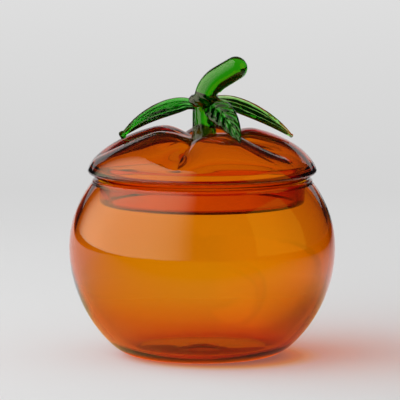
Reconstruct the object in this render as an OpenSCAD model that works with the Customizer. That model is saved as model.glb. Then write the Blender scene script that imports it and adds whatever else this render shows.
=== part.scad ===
// Lidded glass jar in the shape of a ribbed fruit.
// A blown amber globe takes a blown amber lid with five pinched lobes. The lid carries a green glass
// stem with three pressed leaves, worked together at the flame. Millimetres, +Z up. The origin is the
// middle of the foot. Azimuths run from the front (-Y) towards +X.

/* [Jar body] */
// Outer diameter at the widest place
body_d = 100; // [88:1:130]
// Height of the widest place above the table
belly_h = 41; // [30:0.5:60]
// Rise of the shoulder's curve above the widest place, if it ran on to the axis
shoulder_rise = 43.5; // [30:0.5:60]
// Diameter at which the bowl's curve would meet the table without rounding
foot_d = 57; // [44:1:70]
// Height over which the bowl rounds into the flat foot
foot_blend_h = 4.5; // [2:0.5:8]
// Thickness of the blown wall
wall = 2; // [1.4:0.1:3]
// Thickness of the floor
floor_t = 2.6; // [1.6:0.1:4]
// Diameter of the push-up in the middle of the foot
punt_d = 19; // [10:0.5:28]
// Height of the push-up
punt_rise = 1.2; // [0.4:0.1:1.6]

/* [Mouth] */
// How far the edge of the mouth stands inside the widest place
mouth_inset = 11.1; // [8:0.1:18]
// Radius of the fire-polished rim
rim_round = 1.25; // [1:0.05:1.6]
// Straight height below the rounding of the rim
rim_stand = 0.2; // [0.1:0.1:2]

/* [Lid dome] */
// How far the lip reaches past the rim
lip_overhang = 1.6; // [0.8:0.1:4]
// Thickness of the lid's glass
lid_wall = 2.2; // [1.6:0.1:2.8]
// Height of the dome's curve above its base ellipse
dome_rise = 20.2; // [14:0.2:30]
// Slope of the flange's underside, in degrees
flange_slope = 32; // [15:1:40]
// Number of lobes
lobes = 5; // [3:1:8]
// Azimuth of the first groove, in degrees
groove_azimuth = -14; // [-36:1:36]
// Depth of a groove at its deepest
groove_depth = 4.3; // [1:0.1:5]
// How far inside the lip the grooves run out
groove_margin = 3; // [2:0.2:8]
// Depth of the hollow round the stem
dimple_depth = 6.5; // [2:0.1:8]
// Radius of that hollow
dimple_r = 20; // [14:0.5:26]

/* [Lid collar] */
// Play between the collar and the mouth, on each side
collar_play = 0.5; // [0.3:0.05:1]
// Length of the collar below the flange
collar_len = 8.2; // [4:0.2:16]
// Thickness of the collar's glass
collar_wall = 3.3; // [2.8:0.1:3.8]
// Gap between the flange and the rim at rest
seat_gap = 0.3; // [0.2:0.05:0.4]

/* [Stem] */
// Sideways offset of the hand-set stem
stem_shift = 0.8; // [0:0.1:1.2]
// Diameter of the post
post_d = 9; // [6:0.1:10]
// Height of the post
post_h = 11.8; // [10:0.1:20]
// Diameter of the post's flared foot
foot_flare_d = 9.9; // [9.2:0.1:11]
// Height of the flare
flare_h = 2.4; // [1:0.1:6]
// Diameter of the knot at its fullest
knot_d = 11.8; // [11:0.1:15]
// Height of the knot
knot_h = 4.2; // [3:0.1:6]
// Diameter of the crook where it leaves the knot
crook_d = 8.8; // [6:0.1:9.6]
// Extra diameter at the crook's middle
crook_swell = 0.2; // [0:0.1:2]
// Radius of the crook's bend
bend_r = 12; // [8:0.5:20]
// Lean of the crook where it leaves the knot, in degrees
crook_lean = 18; // [0:1:25]
// Lean of the crook's straight end, in degrees
crook_end_lean = 59; // [30:1:80]
// Length of the straight end, up to the middle of the round tip
crook_end_len = 6.9; // [3:0.1:14]

/* [Leaves] */
// Width of a leaf at its widest
leaf_w = 9.8; // [6:0.1:12]
// Thickness of a leaf
leaf_t = 2.3; // [1.6:0.1:3]
// Depth of the pressed midrib
midrib_depth = 0.5; // [0.1:0.05:0.7]
// Height of the side veins
vein_h = 0.22; // [0.05:0.01:0.3]
// Number of side veins on each half
veins = 6; // [3:1:9]
// Length of the left leaf
left_len = 29.2; // [18:0.2:31]
// Length of the front leaf
front_len = 28; // [18:0.2:31]
// Length of the right leaf
right_len = 30.6; // [18:0.2:34]
// Azimuths of the left, front and right leaf, in degrees
left_azimuth = -98; // [-120:1:-80]
front_azimuth = 25; // [0:1:50]
right_azimuth = 94; // [80:1:120]
// Gap between a leaf and the knot
leaf_gap = 0.3; // [0.2:0.05:0.5]
// How far below the knot's middle the left and the front leaf are set
low_set = 1.3; // [0:0.1:1.6]
// Gaps between the tips of the left, front and right leaf and the dome under them
left_tip_gap = 1.9; // [1.6:0.1:4]
front_tip_gap = 2; // [1:0.1:4]
right_tip_gap = 2; // [1:0.1:4]
// Droop of the left, front and right leaf where they leave the knot, in degrees
left_droop = 8; // [0:1:16]
front_droop = 8; // [0:1:16]
right_droop = 14; // [0:1:16]
// Roll of the left, front and right leaf about its own length, in degrees
left_roll = 30; // [-40:1:40]
front_roll = -32; // [-40:1:40]
right_roll = -26; // [-40:1:40]
// Diameter of the bead that closes the tip of the left, front and right leaf
left_bead_d = 2.4; // [0.6:0.1:2.6]
front_bead_d = 1; // [0.6:0.1:2.6]
right_bead_d = 1.2; // [0.6:0.1:2.6]

/* [Hidden] */

amber = [0.86, 0.44, 0.08];
amber_deep = [0.78, 0.30, 0.05];
green = [0.10, 0.50, 0.10];
green_deep = [0.06, 0.36, 0.09];

// Facet counts
$fn = 96;
curve_steps = 30;
blend_steps = 8;
lobe_steps = 14;
dome_steps = 15;
fold_steps = 5;
rod_sides = 24;
leaf_steps = 30;
leaf_sides = 24;

body_r = body_d / 2;
mouth_r = body_r - mouth_inset;
punt_r = punt_d / 2;
rim_mid_r = mouth_r + rim_round;
rim_out_r = mouth_r + 2 * rim_round;

// Lower semi-axis of the bowl's curve, for which it meets the table at the foot's diameter
bowl_drop = belly_h / sqrt(1 - pow(foot_d / body_d, 2));
cavity_r = body_r - wall;
cavity_rise = shoulder_rise - wall;
cavity_drop = bowl_drop - wall;

// The rim's centre stands above where both faces of the shoulder have narrowed to the rim
shoulder_end_h = belly_h + shoulder_rise * sqrt(1 - pow(rim_out_r / body_r, 2));
cavity_end_h = belly_h + cavity_rise * sqrt(1 - pow(mouth_r / cavity_r, 2));
rim_h = max(shoulder_end_h, cavity_end_h) + rim_stand;

function lerp(a, b, t) = a + (b - a) * t;
function span(count) = [for (i = [0:count]) i / count];

// Points of a quadratic curve from p to q whose two end tangents meet at m
function blend(p, m, q, count) =
    [for (t = span(count)) lerp(lerp(p, m, t), lerp(m, q, t), t)];

// Lower half of a bowl, from the flat floor out and up to the belly. The blend starts on the floor as
// far inside the tangent's foot as its other end lies outside.
function bowl(r, drop, floor_h, blend_h) =
    let (start = asin((belly_h - floor_h - blend_h) / drop))
    let (edge = [r * cos(start), floor_h + blend_h])
    let (run = blend_h * r * tan(start) / drop)
    let (corner = [edge[0] - run, floor_h])
    let (flat_end = [corner[0] - norm(edge - corner), floor_h])
    concat(blend(flat_end, corner, edge, blend_steps),
           [for (t = span(curve_steps)) if (t > 0)
               let (a = start * (1 - t)) [r * cos(a), belly_h - drop * sin(a)]]);

// Upper half of the bowl, from above the belly to where it has narrowed to end_r
function shoulder(r, rise, end_r) =
    let (stop = acos(end_r / r))
    [for (t = span(curve_steps)) if (t > 0) [r * cos(stop * t), belly_h + rise * sin(stop * t)]];

// Push-up under the foot: a raised cosine from the axis out to the foot ring
function punt(h) =
    [for (t = span(blend_steps)) [punt_r * t, h + punt_rise * (1 + cos(180 * t)) / 2]];

function reversed(list) = [for (i = [len(list) - 1:-1:0]) list[i]];

module jar_body() {
    rim = [for (t = span(curve_steps / 2))
              [rim_mid_r + rim_round * cos(180 * t), rim_h + rim_round * sin(180 * t)]];
    outside = concat(punt(0), bowl(body_r, bowl_drop, 0, foot_blend_h),
                     shoulder(body_r, shoulder_rise, rim_out_r));
    inside = concat(punt(floor_t), bowl(cavity_r, cavity_drop, floor_t, foot_blend_h),
                    shoulder(cavity_r, cavity_rise, mouth_r));
    color(amber)
        rotate_extrude()
            polygon(concat(outside, rim, reversed(inside)));
}

// The lid's glass is a middle line, thickened by half a wall to each side. It runs up the thicker
// collar, over the fillet on the rim, out along the flange to the fold, and back over the dome.
lid_half = lid_wall / 2;
collar_half = collar_wall / 2;
collar_r = mouth_r - collar_play;
collar_in_r = collar_r - collar_wall;
lip_r = rim_out_r + lip_overhang;
fillet_r = collar_play + rim_round;
fillet_h = rim_h - (collar_play - seat_gap);
fillet_end = [rim_mid_r - fillet_r * sin(flange_slope), fillet_h + fillet_r * cos(flange_slope)];
fold_r = lip_r - lid_half;
flange_len = (fold_r - fillet_end[0] + lid_half * sin(flange_slope)) / cos(flange_slope);
fold_h = fillet_end[1] + flange_len * sin(flange_slope) + lid_half * cos(flange_slope);

// The dome is an ellipse that reaches the fold just before it would turn under
dome_reach_share = 1.0143;
dome_r = fold_r * dome_reach_share;
dome_h = fold_h - dome_rise * sqrt(1 - pow(fold_r / dome_r, 2));
fold_turn = asin(fold_r / dome_r);
seat_r = foot_flare_d / 2 + stem_shift;
seat_turn = asin(seat_r / dome_r);
groove_end_r = lip_r - groove_margin;
groove_sharpness = 1.4;

// Point of the dome's middle line at a turn from the axis, and its unit normal there
function dome_point(turn) = [dome_r * sin(turn), dome_h + dome_rise * cos(turn)];
function dome_normal(turn) =
    let (n = [dome_rise * sin(turn), dome_r * cos(turn)]) n / norm(n);

// Fall of the surface below the plain ellipse: the hollow round the stem, and the groove, which is
// deepest half-way out and sharp across, like a crease pressed with a blade
function hollow(r) = r < dimple_r ? dimple_depth * pow(1 - pow(r / dimple_r, 2), 2) : 0;
function groove_run(r) = sin(180 * min(1, max(0, (r - seat_r) / (groove_end_r - seat_r))));
function pinch(azimuth) =
    pow(1 - abs(sin(lobes / 2 * (azimuth - groove_azimuth))), groove_sharpness);
function sink(r, azimuth) = hollow(r) + groove_depth * groove_run(r) * pinch(azimuth);

// Profile stations: radius, height, and the radius at which the grooves act there (0 for none)
function dome_stations(side, first, last) =
    [for (t = span(dome_steps))
        let (turn = lerp(first, last, t))
        let (p = dome_point(turn) + side * lid_half * dome_normal(turn))
        [p[0], p[1], dome_point(turn)[0]]];
function arc_stations(centre, radii, from, to, count) =
    [for (t = span(count))
        let (a = lerp(from, to, t), r = lerp(radii[0], radii[1], t))
        [centre[0] + r * cos(a), centre[1] + r * sin(a), 0]];

fold = [fold_r, fold_h];
seat_h = (dome_point(seat_turn) + lid_half * dome_normal(seat_turn))[1] - hollow(seat_r);
lip_start = atan2(dome_normal(fold_turn)[1], dome_normal(fold_turn)[0]);
// The pocket inside the fold ends one half wall's run before the fold's centre on each side
pocket_share = 0.72;
pocket_run = lid_wall * pocket_share;
fold_run = norm([dome_r * cos(fold_turn), dome_rise * sin(fold_turn)]);
pocket_turn = fold_turn - pocket_run / fold_run * 180 / PI;
flange_dir = [cos(flange_slope), sin(flange_slope)];
flange_up = [-sin(flange_slope), cos(flange_slope)];
pocket_flange = fold - pocket_run * flange_dir + lid_half * flange_up;

lid_profile = concat(
    dome_stations(1, seat_turn, fold_turn),
    arc_stations(fold, [lid_half, lid_half], lip_start, flange_slope - 90, fold_steps),
    arc_stations([rim_mid_r, fillet_h], [fillet_r, fillet_r], 90 + flange_slope, 180, fold_steps),
    arc_stations([rim_mid_r, fillet_h], [fillet_r + collar_wall, fillet_r + lid_wall],
                 180, 90 + flange_slope, fold_steps),
    [[pocket_flange[0], pocket_flange[1], 0]],
    dome_stations(-1, pocket_turn, seat_turn));

// A profile turned about Z with the grooves pressed in. Each end closes in a flat disc.
module lobed_shell(profile, top_h, under_h) {
    around = lobes * lobe_steps;
    rings = len(profile);
    points = concat(
        [for (s = profile) for (j = [0:around - 1])
            let (azimuth = groove_azimuth + 360 * j / around)
            let (fall = s[2] > 0 ? sink(s[2], azimuth) : 0)
            [s[0] * sin(azimuth), -s[0] * cos(azimuth), s[1] - fall]],
        [[0, 0, top_h], [0, 0, under_h]]);
    apex = rings * around;
    faces = concat(
        [for (j = [0:around - 1]) [apex, (j + 1) % around, j]],
        [for (i = [0:rings - 2]) for (j = [0:around - 1])
            let (a = i * around + j, b = i * around + (j + 1) % around)
            each [[a, b, b + around], [a, b + around, a + around]]],
        [for (j = [0:around - 1])
            let (base = (rings - 1) * around)
            [apex + 1, base + j, base + (j + 1) % around]]);
    polyhedron(points, faces);
}

module lid_dome() {
    under_turn = lid_profile[len(lid_profile) - 1];
    color(amber)
        lobed_shell(lid_profile, seat_h, under_turn[1] - hollow(seat_r));
}

module lid_collar() {
    end_h = fillet_h - collar_len;
    color(amber_deep)
        rotate_extrude() {
            translate([collar_in_r, end_h + collar_half])
                square([collar_wall, collar_len - collar_half]);
            translate([collar_in_r + collar_half, end_h + collar_half])
                circle(collar_half);
        }
}

// Stem
post_r = post_d / 2;
knot_foot_h = seat_h + post_h;
knot_top_h = knot_foot_h + knot_h;
crook_r = crook_d / 2;
knot_r = knot_d / 2;
knot_end_share = 0.25;

module stem_post() {
    flare = foot_flare_d / 2 - post_r;
    color(green)
        translate([stem_shift, 0, seat_h])
            rotate_extrude()
                polygon(concat(
                    [[0, 0]],
                    [for (t = span(blend_steps)) [post_r + flare * pow(1 - t, 2), flare_h * t]],
                    [[post_r, post_h], [0, post_h]]));
}

module leaf_knot() {
    knot_end_r = lerp(max(post_r, crook_r), knot_r, knot_end_share);
    color(green_deep)
        translate([stem_shift, 0, knot_foot_h])
            rotate_extrude()
                polygon(concat(
                    [[0, 0]],
                    [for (t = span(2 * blend_steps))
                        [lerp(knot_end_r, knot_r, sin(180 * t)), knot_h * t]],
                    [[0, knot_h]]));
}

// The crook: an arc from its first lean to its last, a straight run, then a round tip
crook_bend_len = bend_r * (crook_end_lean - crook_lean) * PI / 180;
crook_len = crook_bend_len + crook_end_len;
function crook_angle(s) =
    s < crook_bend_len ? lerp(crook_lean, crook_end_lean, s / crook_bend_len) : crook_end_lean;
function crook_axis(s) =
    let (bent = min(s, crook_bend_len))
    let (lean = crook_angle(bent))
    [bend_r * (1 - cos(lean)), 0, bend_r * (sin(lean) - sin(crook_lean))]
    + (s - bent) * [sin(crook_end_lean), 0, cos(crook_end_lean)];
function crook_rad(s) = crook_r + crook_swell / 2 * sin(180 * s / crook_len);

// Sections of a rod: centre, radius and lean. The first ones lie flatter, to sit on the knot's top.
module stem_crook() {
    body_rings = 18;
    tip_rings = 6;
    settle_rings = 4;
    sections = concat(
        [for (i = [0:body_rings])
            let (s = crook_len * i / body_rings)
            [crook_axis(s), crook_rad(s), crook_angle(s) * min(1, i / settle_rings)]],
        [for (i = [1:tip_rings - 1])
            let (a = 90 * i / tip_rings)
            [crook_axis(crook_len + crook_r * sin(a)), crook_r * cos(a), crook_end_lean]]);
    count = len(sections);
    points = concat(
        [for (s = sections) for (j = [0:rod_sides - 1])
            let (a = 360 * j / rod_sides)
            s[0] + s[1] * [cos(a) * cos(s[2]), sin(a), -cos(a) * sin(s[2])]],
        [crook_axis(0), crook_axis(crook_len + crook_r)]);
    last = (count - 1) * rod_sides;
    faces = concat(
        [for (j = [0:rod_sides - 1]) [count * rod_sides, j, (j + 1) % rod_sides]],
        [for (i = [0:count - 2]) for (j = [0:rod_sides - 1])
            let (a = i * rod_sides + j, b = i * rod_sides + (j + 1) % rod_sides)
            each [[a, a + rod_sides, b + rod_sides], [a, b + rod_sides, b]]],
        [for (j = [0:rod_sides - 1])
            [count * rod_sides + 1, last + (j + 1) % rod_sides, last + j]]);
    color(green)
        translate([stem_shift, 0, knot_top_h])
            polyhedron(points, faces);
}

// Half width and half thickness of a leaf at a share t of its length. Both begin a little way in, so
// that the leaf has a root, and its tip ends in a bead.
leaf_root_share = 0.06;
leaf_bulge_share = 0.6;
leaf_thick_shares = [0.16, 0.985];
leaf_end_share = 0.035;
outline_power = 0.7;
thickness_power = 0.45;
edge_power = 0.65;
function leaf_half_w(t) =
    let (u = lerp(leaf_root_share, 1, t))
    leaf_w / 2 * max(pow(abs(sin(180 * pow(u, leaf_bulge_share))), outline_power), leaf_end_share);
function leaf_half_t(t) =
    leaf_t / 2 * pow(sin(180 * lerp(leaf_thick_shares[0], leaf_thick_shares[1], t)), thickness_power);
function bead(to_tip, r) = to_tip < 2 * r ? sqrt(max(0, r * r - pow(r - to_tip, 2))) : 0;

// Relief on the upper face at a share t along and u across (-1 to 1): the midrib is a pressed valley
// and the side veins are waves that slant towards the tip
vein_slant_share = 0.16;
midrib_share = 0.16;
function leaf_relief(t, u) =
    -midrib_depth * exp(-pow(u / midrib_share, 2))
    + vein_h * cos(360 * veins * (t - vein_slant_share * abs(u))) * sin(180 * min(1, abs(u)));

// Section of a leaf at an angle round it: flat faces with round edges
function leaf_lift(a) = sign(sin(a)) * pow(abs(sin(a)), edge_power);

// Height of the dome's outer face at a radius and an azimuth
function dome_top(r, azimuth) =
    let (turn = asin(min(r, fold_r) / dome_r))
    (dome_point(turn) + lid_half * dome_normal(turn))[1] - sink(r, azimuth);

// Last droop of a leaf, for which the tip of its arc ends tip_gap above the dome. Each try takes the
// reach from the droop before it.
function last_droop(azimuth, len, root_h, first, tip_gap, guess, tries) =
    tries == 0 ? guess :
    let (arc_r = len / ((guess - first) * PI / 180))
    let (reach = knot_r + leaf_gap + arc_r * (sin(guess) - sin(first)))
    let (chord = 2 * arc_r * sin((guess - first) / 2))
    let (fall = root_h - dome_top(reach, azimuth) - tip_gap)
    last_droop(azimuth, len, root_h, first, tip_gap, 2 * asin(fall / chord) - first, tries - 1);
first_guess = 45;
droop_tries = 8;

// A leaf leaves the knot at a first droop and bends along an arc until its tip hangs over the dome.
// Roll turns its upper face about its own length. The sections stand closer towards the tip.
tip_spacing = 1.3;
module leaf(azimuth, len, set_down, first, tip_gap, roll, bead_r) {
    root_h = knot_foot_h + knot_h / 2 - set_down;
    last = last_droop(azimuth, len, root_h, first, tip_gap, first_guess, droop_tries);
    arc_r = len / ((last - first) * PI / 180);
    sections = [for (s = span(leaf_steps))
        let (t = 1 - pow(1 - s, tip_spacing), droop = lerp(first, last, t))
        [t, [arc_r * (sin(droop) - sin(first)), -arc_r * (cos(first) - cos(droop))], droop]];
    points = concat(
        [for (s = sections) for (j = [0:leaf_sides - 1])
            let (a = 360 * j / leaf_sides)
            let (end_r = bead(len * (1 - s[0]), bead_r))
            let (half_w = max(leaf_half_w(s[0]), end_r), half_t = leaf_half_t(s[0]))
            let (across = half_w * cos(a))
            let (relief = sin(a) > 0 ? leaf_relief(s[0], cos(a)) * sin(a) * half_t * 2 / leaf_t : 0)
            let (up = max(half_t, end_r) * leaf_lift(a) + relief)
            let (x = across * cos(roll) - up * sin(roll))
            let (h = across * sin(roll) + up * cos(roll))
            [x, s[1][0] + h * sin(s[2]), s[1][1] + h * cos(s[2])]],
        [[0, 0, 0], [0, sections[leaf_steps][1][0], sections[leaf_steps][1][1]]]);
    end = leaf_steps * leaf_sides;
    middles = (leaf_steps + 1) * leaf_sides;
    faces = concat(
        [for (j = [0:leaf_sides - 1]) [middles, (j + 1) % leaf_sides, j]],
        [for (i = [0:leaf_steps - 1]) for (j = [0:leaf_sides - 1])
            let (a = i * leaf_sides + j, b = i * leaf_sides + (j + 1) % leaf_sides)
            each [[a, b, b + leaf_sides], [a, b + leaf_sides, a + leaf_sides]]],
        [for (j = [0:leaf_sides - 1]) [middles + 1, end + j, end + (j + 1) % leaf_sides]]);
    color(green)
        translate([stem_shift, 0, root_h])
            rotate(180 + azimuth)
                translate([0, knot_r + leaf_gap, 0])
                    polyhedron(points, faces);
}

module leaf_left() {
    leaf(left_azimuth, left_len, low_set, left_droop, left_tip_gap, left_roll, left_bead_d / 2);
}

module leaf_front() {
    leaf(front_azimuth, front_len, low_set, front_droop, front_tip_gap, front_roll, front_bead_d / 2);
}

module leaf_right() {
    leaf(right_azimuth, right_len, 0, right_droop, right_tip_gap, right_roll, right_bead_d / 2);
}

jar_body();
lid_dome();
lid_collar();
stem_post();
leaf_knot();
stem_crook();
leaf_left();
leaf_front();
leaf_right();
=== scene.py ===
"""Looks of a lidded glass jar in the shape of a ribbed fruit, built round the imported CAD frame.

The jar and its lid are mouth-blown amber borosilicate glass. The stem is a bent rod of green
borosilicate glass with three leaves, pressed in veined tongs and worked on at the flame. Every glass
piece is a closed surface, worked out with numpy from the same sizes as the CAD source.
"""

import logging
import math
from dataclasses import dataclass
from enum import Enum
from typing import Any, Optional, Sequence

import bpy
import numpy as np
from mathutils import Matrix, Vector


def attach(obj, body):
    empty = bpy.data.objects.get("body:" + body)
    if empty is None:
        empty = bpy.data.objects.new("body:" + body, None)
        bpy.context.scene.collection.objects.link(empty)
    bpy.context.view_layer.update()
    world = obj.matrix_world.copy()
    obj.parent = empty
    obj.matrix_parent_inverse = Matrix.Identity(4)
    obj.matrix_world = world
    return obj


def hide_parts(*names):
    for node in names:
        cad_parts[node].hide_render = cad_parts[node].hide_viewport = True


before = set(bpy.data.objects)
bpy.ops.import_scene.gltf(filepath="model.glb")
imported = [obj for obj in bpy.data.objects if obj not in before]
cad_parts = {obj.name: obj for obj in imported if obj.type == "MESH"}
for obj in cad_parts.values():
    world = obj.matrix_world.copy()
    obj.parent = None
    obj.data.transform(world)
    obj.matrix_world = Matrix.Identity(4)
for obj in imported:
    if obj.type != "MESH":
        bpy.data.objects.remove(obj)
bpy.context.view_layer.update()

MM = 0.001
SHARP_EDGE_DEG = 60.0
GLASS_BOUNCES = 32
MIRROR_BOUNCES = 16
MIX_FIRST, MIX_LAST, MIX_RESULT = 6, 7, 2
LOG = logging.getLogger("jar")

Array = np.ndarray
NodeTree = bpy.types.NodeTree
Node = bpy.types.Node
Socket = bpy.types.NodeSocket
Material = bpy.types.Material
Object = bpy.types.Object
Place = tuple[float, float, float]
Levels = tuple[tuple[float, float], ...]
Tones = tuple[tuple[float, str], ...]


# Small mathematics

def lerp(a: Any, b: Any, t: Any) -> Any:
    """Straight mix of a and b at a share t: a plus t times their difference."""
    return a + (b - a) * t


def span(count: int) -> Array:
    """Shares from 0 to 1 in count equal steps."""
    return np.linspace(0.0, 1.0, count + 1)


def round_angles(count: int) -> Array:
    """Angles of count columns round a full turn, in radians."""
    return 2 * np.pi * np.arange(count) / count


def smooth_step(x: Array) -> Array:
    """Rise from 0 to 1 with flat ends: x clipped to 0..1, squared, times three minus two x."""
    x = np.clip(x, 0.0, 1.0)
    return x * x * (3.0 - 2.0 * x)


def arc(centre: Sequence[float], radius: Any, start: float, stop: float, count: int) -> Array:
    """Points of a circle's arc, or of a part of a spiral.

    The point at an angle is the centre plus the radius times (cosine, sine).

    Args:
        centre: Radius and height of the arc's centre.
        radius: Radius of the arc, or one radius for each point.
        start: First angle in degrees.
        stop: Last angle in degrees.
        count: Number of steps.

    Returns:
        Array of (radius, height) rows.
    """
    angle = np.radians(lerp(start, stop, span(count)))
    return np.stack([centre[0] + radius * np.cos(angle), centre[1] + radius * np.sin(angle)], -1)


def corner_blend(first: Array, corner: Array, last: Array, count: int) -> Array:
    """Points of a quadratic curve whose end tangents meet in a corner.

    It is the straight mix of the two straight mixes first-corner and corner-last.

    Args:
        first: Start point.
        corner: Point where the tangents meet.
        last: End point.
        count: Number of steps.

    Returns:
        Array of (radius, height) rows.
    """
    t = span(count)[:, None]
    return lerp(lerp(first, corner, t), lerp(corner, last, t), t)


# Meshes from grids

@dataclass
class GridSkin:
    """A closed surface from a grid of points in mm: rows run along a profile, columns run round.

    A hoop has no tips: its last row joins its first.
    """

    name: str
    points: Array
    hoop: bool = False

    def faces(self) -> tuple[Array, Array]:
        """Index rows of the skin.

        Each quad joins two neighbouring columns of two neighbouring rows. A hoop's last row joins its
        first one. In any other skin each end row is closed by triangles that meet in one more point.

        Returns:
            The quads and the triangles.
        """
        rows, cols = self.points.shape[:2]
        row, col = np.meshgrid(np.arange(rows if self.hoop else rows - 1), np.arange(cols),
                               indexing="ij")
        beside, above = (col + 1) % cols, (row + 1) % rows
        quads = np.stack([row * cols + col, row * cols + beside,
                          above * cols + beside, above * cols + col], -1).reshape(-1, 4)
        if self.hoop:
            return quads, np.zeros((0, 3), int)
        ring = np.arange(cols)
        after = (ring + 1) % cols
        last = (rows - 1) * cols
        first_apex = np.full(cols, rows * cols)
        tris = np.concatenate([np.stack([first_apex, after, ring], -1),
                               np.stack([last + ring, last + after, first_apex + 1], -1)])
        return quads, tris

    def mesh(self) -> bpy.types.Mesh:
        """Makes the mesh, with its faces outwards.

        The volume is a sixth of the sum of each triangle's triple product. Where it comes out
        negative, every face is turned.

        Returns:
            The finished mesh, in metres.
        """
        rows, cols = self.points.shape[:2]
        tips = np.zeros((0, 3)) if self.hoop else self.points[[0, -1]].mean(1)
        verts = np.concatenate([self.points.reshape(-1, 3), tips]) * MM
        quads, tris = self.faces()
        halves = np.concatenate([quads[:, [0, 1, 2]], quads[:, [0, 2, 3]], tris])
        corners = verts[halves]
        volume = np.einsum("ij,ij->i", corners[:, 0], np.cross(corners[:, 1], corners[:, 2])).sum() / 6
        if volume < 0:
            quads, tris = quads[:, ::-1], tris[:, ::-1]
        loops = np.concatenate([quads.ravel(), tris.ravel()]).astype(np.int32)
        counts = np.concatenate([np.full(len(quads), 4), np.full(len(tris), 3)])
        starts = np.concatenate([[0], np.cumsum(counts)[:-1]]).astype(np.int32)
        mesh = bpy.data.meshes.new(self.name)
        mesh.vertices.add(len(verts))
        mesh.vertices.foreach_set("co", verts.astype(np.float32).ravel())
        mesh.loops.add(len(loops))
        mesh.loops.foreach_set("vertex_index", loops)
        mesh.polygons.add(len(counts))
        mesh.polygons.foreach_set("loop_start", starts)
        mesh.polygons.foreach_set("use_smooth", np.ones(len(counts), bool))
        mesh.update(calc_edges=True)
        mesh.validate()
        mesh.set_sharp_from_angle(angle=math.radians(SHARP_EDGE_DEG))
        LOG.info("%s: %d faces, %.1f mm3", self.name, len(counts), abs(volume) / MM ** 3)
        return mesh

    def piece(self, body: str, slot: str, material: Material, *nodes: str) -> Object:
        """Puts the skin into the scene as a piece of the jar.

        Args:
            body: CAD body that it moves with.
            slot: Material slot of the record; not used.
            material: Its material.
            *nodes: CAD nodes that it stands for.

        Returns:
            The new object.
        """
        obj = bpy.data.objects.new(self.name, self.mesh())
        bpy.context.scene.collection.objects.link(obj)
        obj.data.materials.append(material)
        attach(obj, body)
        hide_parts(*nodes)
        return obj


def turned(profile: Array, azimuth: Array, fall: Optional[Array] = None) -> Array:
    """Turns a profile about the vertical axis.

    The point at an azimuth is (radius times its sine, minus radius times its cosine, height less the
    fall), so that azimuth 0 is the front and 90 degrees the right.

    Args:
        profile: Rows of (radius, height).
        azimuth: Azimuths of the columns, in radians.
        fall: Amount by which each point lies lower, one per row and column.

    Returns:
        Grid of points, rows by columns by three.
    """
    radius, height = profile[:, :1], profile[:, 1:]
    low = 0.0 if fall is None else fall
    return np.stack([radius * np.sin(azimuth), -radius * np.cos(azimuth),
                     np.broadcast_to(height, (len(profile), len(azimuth))) - low], -1)


# Materials

def linear(hex_colour: str, alpha: float = 1.0) -> tuple[float, float, float, float]:
    """Turns an sRGB hex colour into linear light.

    A channel up to 0.04045 is divided by 12.92, a larger one is (channel + 0.055) / 1.055 raised to
    the power 2.4.

    Args:
        hex_colour: Six hex digits with a leading hash.
        alpha: Fourth value of the result.

    Returns:
        Linear red, green, blue and alpha.
    """
    channels = [int(hex_colour[i:i + 2], 16) / 255 for i in (1, 3, 5)]
    red, green, blue = [c / 12.92 if c <= 0.04045 else ((c + 0.055) / 1.055) ** 2.4 for c in channels]
    return red, green, blue, alpha


def add_node(tree: NodeTree, kind: str, settings: Optional[dict[str, Any]] = None,
             links: Optional[dict[str, Socket]] = None) -> Node:
    """Adds one node.

    Args:
        tree: Node tree that takes it.
        kind: Blender's name of the node's type.
        settings: Values by input name, or by property name where the node has no such input.
        links: Output sockets by the name of the input that they feed.

    Returns:
        The new node.
    """
    node = tree.nodes.new(kind)
    for name, value in (settings or {}).items():
        if name in node.inputs:
            node.inputs[name].default_value = value
        else:
            setattr(node, name, value)
    for name, socket in (links or {}).items():
        tree.links.new(socket, node.inputs[name])
    return node


def fresh_tree(holder: Any) -> NodeTree:
    """Empty node tree of a material or world.

    Args:
        holder: The material or world.

    Returns:
        Its node tree, with no nodes in it.
    """
    holder.use_nodes = True
    holder.node_tree.nodes.clear()
    return holder.node_tree


def feed(tree: NodeTree, socket: Socket, value: Any) -> None:
    """Feeds one input.

    Args:
        tree: Node tree of the input.
        socket: The input.
        value: Output socket to link to it, or plain value to set it to.
    """
    if isinstance(value, Socket):
        tree.links.new(value, socket)
    else:
        socket.default_value = value


def calculate(tree: NodeTree, operation: str, first: Any, second: Any) -> Socket:
    """Adds a Math node on two values.

    Args:
        tree: Node tree that takes it.
        operation: Blender's name of the operation.
        first: Output socket or number.
        second: Output socket or number.

    Returns:
        The result's socket.
    """
    node = add_node(tree, "ShaderNodeMath", {"operation": operation})
    feed(tree, node.inputs[0], first)
    feed(tree, node.inputs[1], second)
    return node.outputs[0]


@dataclass(frozen=True)
class Fade:
    """Straight rise or fall of a value between a start and a stop, held at its ends outside them."""

    start: float
    stop: float
    first: float = 0.0
    last: float = 1.0

    def over(self, tree: NodeTree, value: Socket) -> Socket:
        """Adds the fade of a value: the first level up to the start, the last one from the stop."""
        return add_node(tree, "ShaderNodeMapRange",
                        {"From Min": self.start, "From Max": self.stop, "To Min": self.first,
                         "To Max": self.last}, {"Value": value}).outputs[0]


def colour_ramp(tree: NodeTree, share: Socket, stops: Sequence[tuple[float, Sequence[float]]]) -> Socket:
    """Colour ramp.

    Args:
        tree: Node tree that takes it.
        share: Share from 0 to 1 that picks the colour.
        stops: Rows of share and linear red, green and blue. Shares 0 and 1 come first.

    Returns:
        The colour's socket.
    """
    node = add_node(tree, "ShaderNodeValToRGB", {}, {"Fac": share})
    elements = node.color_ramp.elements
    for place, rgb in stops:
        stop = elements[int(place)] if place in (0.0, 1.0) else elements.new(place)
        stop.color = (*rgb[:3], 1.0)
    return node.outputs[0]


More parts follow.
